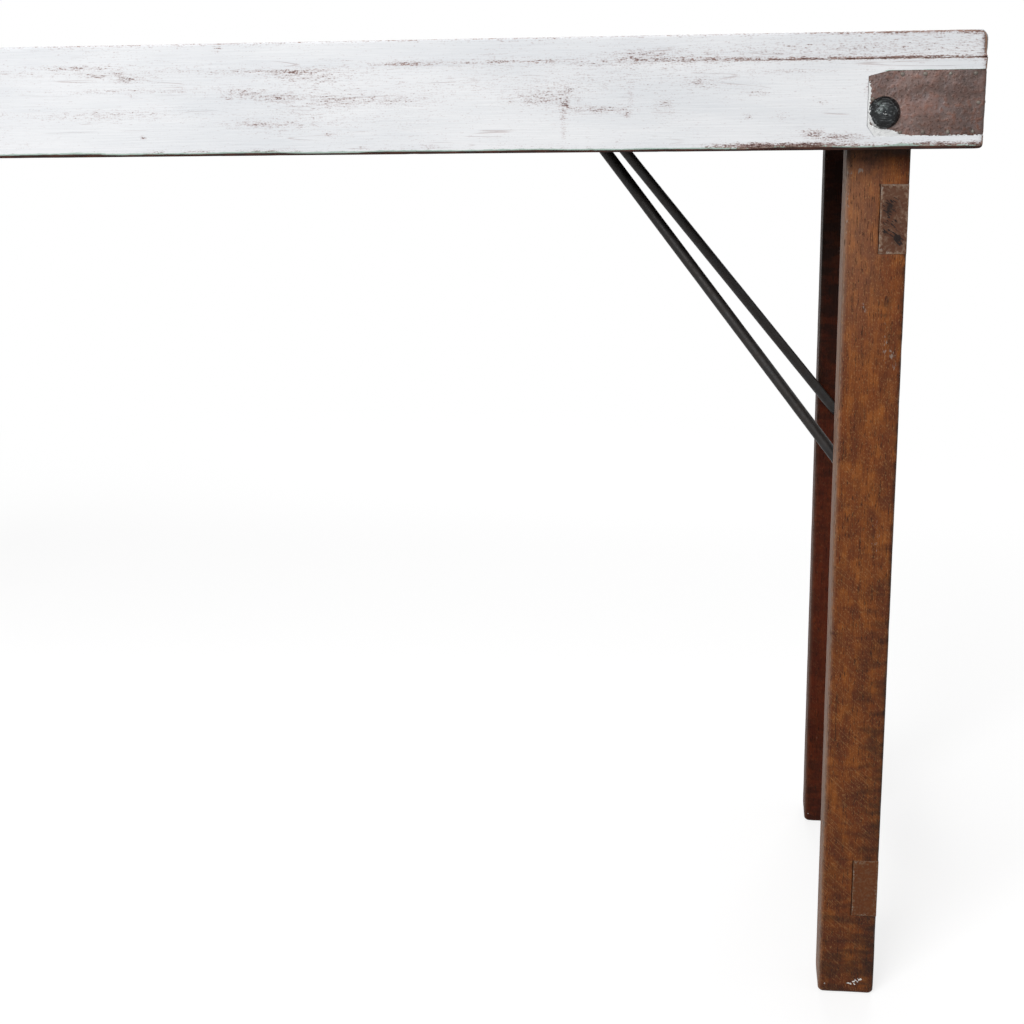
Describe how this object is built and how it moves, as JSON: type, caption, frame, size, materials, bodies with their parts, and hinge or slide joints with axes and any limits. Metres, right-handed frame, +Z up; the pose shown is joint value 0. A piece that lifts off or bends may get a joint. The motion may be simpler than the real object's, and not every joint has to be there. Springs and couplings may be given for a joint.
{
  "type": "folding console table",
  "caption": "Rustic folding console table: white distressed planked top in a deep apron frame, square hardwood leg frames that fold under it, iron corner straps and rod braces.",
  "frame": {"origin": "on the floor, under the middle of the top", "axes": "+X along the table to its right end, +Y from the front to the back, +Z up"},
  "size_m": [1.6, 0.4246, 0.765],
  "materials": {
    "white_painted_wood": "distressed white paint worn to the wood along edges and grain",
    "bare_softwood": "rough sawn, bare and darkened with age",
    "oiled_hardwood": "oiled and worn, satin",
    "rusted_strap_iron": "brown patina of old paint and rust",
    "hammered_bolt_iron": "blackened, hammered",
    "dark_iron": "dark mill scale, dull"
  },
  "bodies": {
    "top_frame": {"top_plank_front": "white_painted_wood", "top_plank_front_middle": "white_painted_wood", "top_plank_back_middle": "white_painted_wood", "top_plank_back": "white_painted_wood", "front_apron": "white_painted_wood", "back_apron": "white_painted_wood", "left_end_apron": "white_painted_wood", "right_end_apron": "white_painted_wood", "centre_bearer": "bare_softwood", "catch_bearer_left": "bare_softwood", "catch_bearer_right": "bare_softwood", "brace_catch_left": "dark_iron", "catch_screws_left": "dark_iron", "corner_strap_front_left": "rusted_strap_iron", "pivot_bolt_front_left": "hammered_bolt_iron", "pivot_spacer_front_left": "dark_iron", "pivot_washer_front_left": "dark_iron", "pivot_nut_front_left": "dark_iron", "corner_strap_back_left": "rusted_strap_iron", "pivot_bolt_back_left": "hammered_bolt_iron", "pivot_spacer_back_left": "dark_iron", "pivot_washer_back_left": "dark_iron", "pivot_nut_back_left": "dark_iron", "brace_catch_right": "dark_iron", "catch_screws_right": "dark_iron", "corner_strap_front_right": "rusted_strap_iron", "pivot_bolt_front_right": "hammered_bolt_iron", "pivot_spacer_front_right": "dark_iron", "pivot_washer_front_right": "dark_iron", "pivot_nut_front_right": "dark_iron", "corner_strap_back_right": "rusted_strap_iron", "pivot_bolt_back_right": "hammered_bolt_iron", "pivot_spacer_back_right": "dark_iron", "pivot_washer_back_right": "dark_iron", "pivot_nut_back_right": "dark_iron"},
    "leg_frame_left": {"leg_front_left": "oiled_hardwood", "leg_back_left": "oiled_hardwood", "leg_rail_upper_left": "oiled_hardwood", "leg_rail_lower_left": "oiled_hardwood"},
    "brace_left": {"brace_rod_left": "dark_iron"},
    "leg_frame_right": {"leg_front_right": "oiled_hardwood", "leg_back_right": "oiled_hardwood", "leg_rail_upper_right": "oiled_hardwood", "leg_rail_lower_right": "oiled_hardwood"},
    "brace_right": {"brace_rod_right": "dark_iron"}
  },
  "joints": [
    {"name": "leg_fold_left", "type": "hinge", "parent": "top_frame", "child": "leg_frame_left", "pos_m": [-0.732, 0, 0.711], "axis": [0, -1, 0], "range_deg": [0, 90]},
    {"name": "brace_swing_left", "type": "hinge", "parent": "leg_frame_left", "child": "brace_left", "pos_m": [-0.727, 0, 0.426], "axis": [0, -1, 0], "range_deg": [-141.7, 0]},
    {"name": "leg_fold_right", "type": "hinge", "parent": "top_frame", "child": "leg_frame_right", "pos_m": [0.732, 0, 0.711], "axis": [0, 1, 0], "range_deg": [0, 90]},
    {"name": "brace_swing_right", "type": "hinge", "parent": "leg_frame_right", "child": "brace_right", "pos_m": [0.727, 0, 0.426], "axis": [0, 1, 0], "range_deg": [-141.7, 0]}
  ],
  "couplings": [
    {"joint": "brace_swing_left", "follows": "leg_fold_left", "ratio": -1.5743},
    {"joint": "brace_swing_right", "follows": "leg_fold_right", "ratio": -1.5743}
  ]
}
